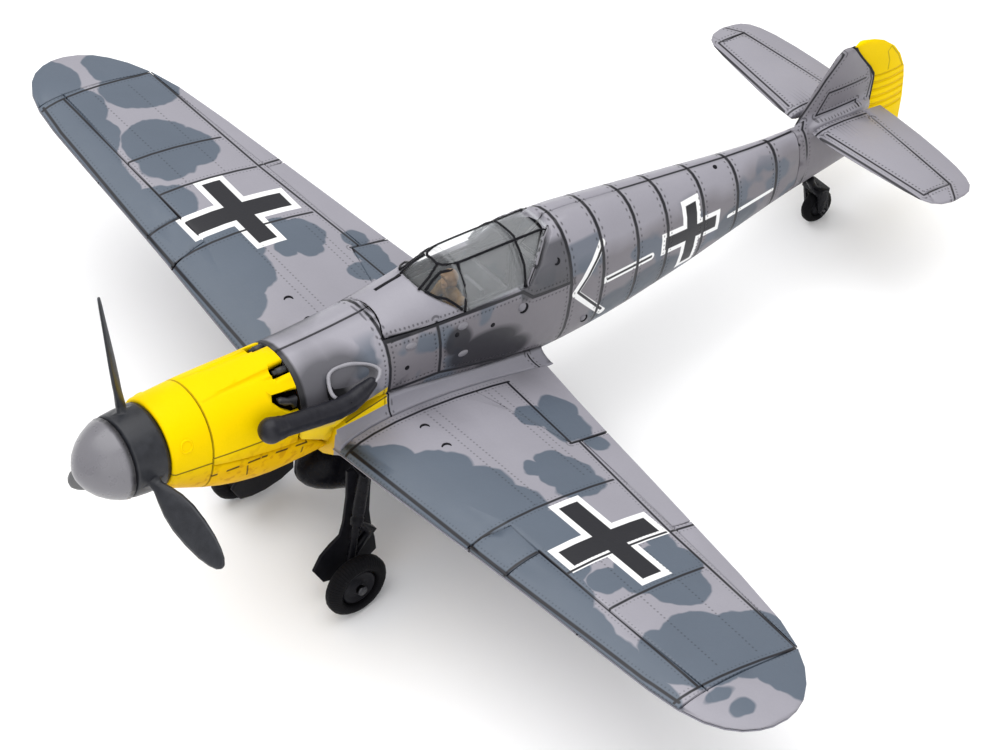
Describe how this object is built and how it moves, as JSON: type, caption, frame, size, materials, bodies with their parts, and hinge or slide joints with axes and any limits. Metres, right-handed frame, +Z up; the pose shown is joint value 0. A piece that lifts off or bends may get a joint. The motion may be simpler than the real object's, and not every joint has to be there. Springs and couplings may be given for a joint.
{
  "type": "propeller fighter plane scale model",
  "caption": "Single-seat low-wing propeller fighter scale model standing on main wheels and tail wheel, yellow nose and rudder, grey blotched paint, belly tank.",
  "frame": {"origin": "on the floor, under the centre of the bounding box", "axes": "+Z up, nose towards -Y, port wing towards +X; the airframe is nose-up on its wheels"},
  "size_m": [0.2068, 0.185, 0.0733],
  "materials": {
    "lavender_grey_paint": "satin paint with blue-grey blotches",
    "yellow_paint": "satin paint",
    "black_plastic": "gloss",
    "charcoal_paint": "satin",
    "spinner_grey": "satin",
    "clear_plastic": "clear",
    "cockpit_grey": "matt",
    "tyre_black": "matt",
    "steel_pin": "satin",
    "figure_brown": "matt"
  },
  "bodies": {
    "airframe": {"nose_bearing": "cockpit_grey", "cowl_front_ring": "yellow_paint", "cowl_upper": "yellow_paint", "cowl_lower": "yellow_paint", "gun_barrel_left": "steel_pin", "gun_barrel_right": "steel_pin", "cowl_latch": "lavender_grey_paint", "firewall": "cockpit_grey", "fuselage_left": "lavender_grey_paint", "fuselage_right": "lavender_grey_paint", "wing_lower": "lavender_grey_paint", "wing_upper_left": "lavender_grey_paint", "wing_upper_right": "lavender_grey_paint", "radiator_left": "lavender_grey_paint", "radiator_right": "lavender_grey_paint", "tail_section": "lavender_grey_paint", "rudder": "yellow_paint", "tailplane_left": "lavender_grey_paint", "tailplane_right": "lavender_grey_paint", "windscreen": "clear_plastic", "windscreen_bow": "black_plastic", "sliding_hood": "clear_plastic", "hood_bow": "black_plastic", "rear_window": "clear_plastic", "rear_bow": "black_plastic", "cockpit_tub": "cockpit_grey", "seat": "cockpit_grey", "instrument_panel": "cockpit_grey", "control_stick": "cockpit_grey", "pilot": "figure_brown", "air_filter": "black_plastic", "intake_scoop": "lavender_grey_paint", "gear_leg_left": "black_plastic", "gear_leg_right": "black_plastic", "gear_door_left": "black_plastic", "gear_door_right": "black_plastic", "axle_left": "steel_pin", "axle_right": "steel_pin", "tail_wheel_fork": "black_plastic", "tail_axle": "steel_pin", "tank_rack": "black_plastic", "drop_tank": "black_plastic"},
    "propeller_group": {"spinner_cap": "spinner_grey", "propeller": "charcoal_paint", "prop_shaft": "steel_pin"},
    "main_wheel_left": {"wheel_hub_left": "spinner_grey", "tyre_left": "tyre_black"},
    "main_wheel_right": {"wheel_hub_right": "spinner_grey", "tyre_right": "tyre_black"},
    "tail_wheel": {"tail_wheel_hub": "spinner_grey", "tail_wheel_tyre": "tyre_black"}
  },
  "joints": [
    {"name": "propeller_spin", "type": "hinge", "parent": "airframe", "child": "propeller_group", "pos_m": [0, -0.08208, 0.04808], "axis": [0, 0.9789, -0.2045], "continuous": true},
    {"name": "wheel_left_spin", "type": "hinge", "parent": "airframe", "child": "main_wheel_left", "pos_m": [0.0176, -0.05406, 0.00616], "axis": [1, 0, 0], "continuous": true},
    {"name": "wheel_right_spin", "type": "hinge", "parent": "airframe", "child": "main_wheel_right", "pos_m": [-0.0176, -0.05406, 0.00616], "axis": [1, 0, 0], "continuous": true},
    {"name": "tail_wheel_spin", "type": "hinge", "parent": "airframe", "child": "tail_wheel", "pos_m": [0, 0.07032, 0.00346], "axis": [1, 0, 0], "continuous": true}
  ]
}
